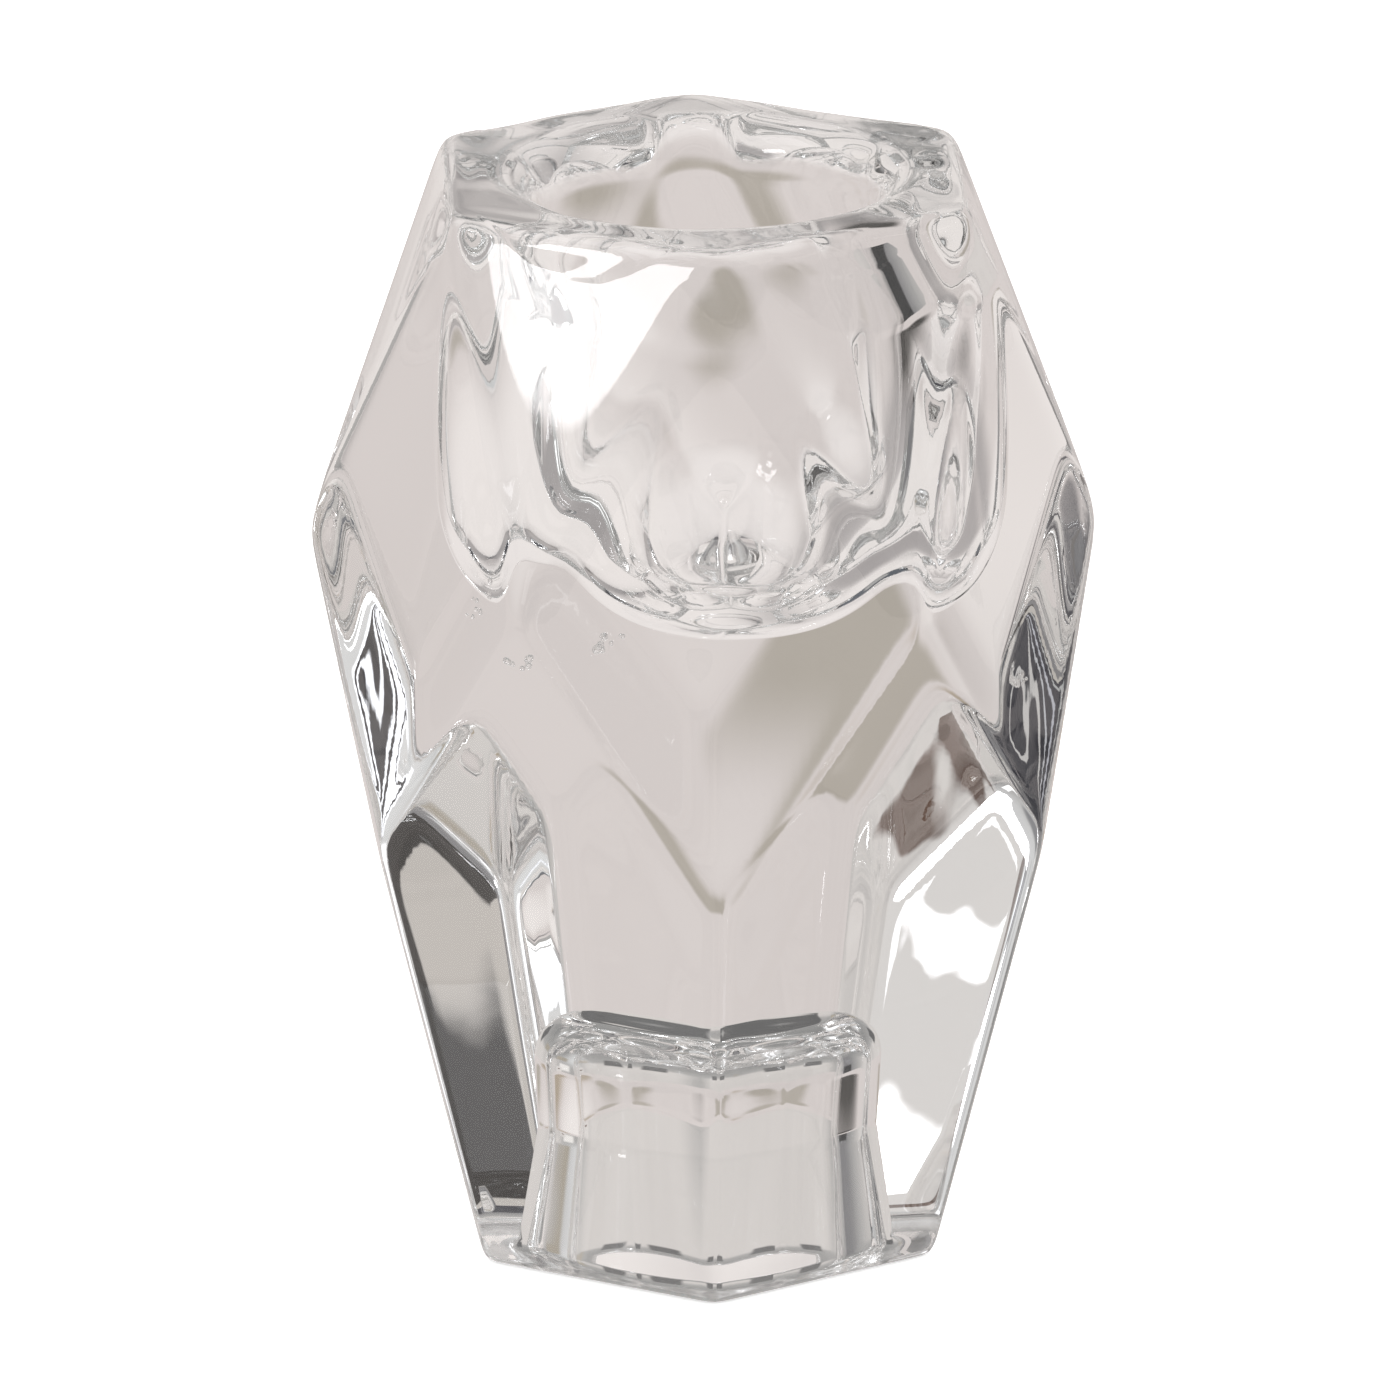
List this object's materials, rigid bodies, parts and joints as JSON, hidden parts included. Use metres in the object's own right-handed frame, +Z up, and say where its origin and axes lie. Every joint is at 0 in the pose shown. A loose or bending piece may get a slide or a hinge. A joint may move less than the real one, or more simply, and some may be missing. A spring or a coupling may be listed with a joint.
{
  "type": "glass candlestick",
  "caption": "Solid clear glass candle holder, a faceted hexagonal block that is widest above the middle, with a round-bottomed well on top and a tapered candle socket in the foot.",
  "frame": {"origin": "centre of the foot's face, on the surface that the holder stands on", "axes": "+Z up along the holder's axis, through the well and the socket; corners of the hexagon towards +Y and -Y, flats towards +X and -X"},
  "size_m": [0.072, 0.0692, 0.1],
  "materials": {
    "clear_glass": "fire-polished"
  },
  "bodies": {
    "root": {"glass_body": "clear_glass"}
  },
  "joints": []
}
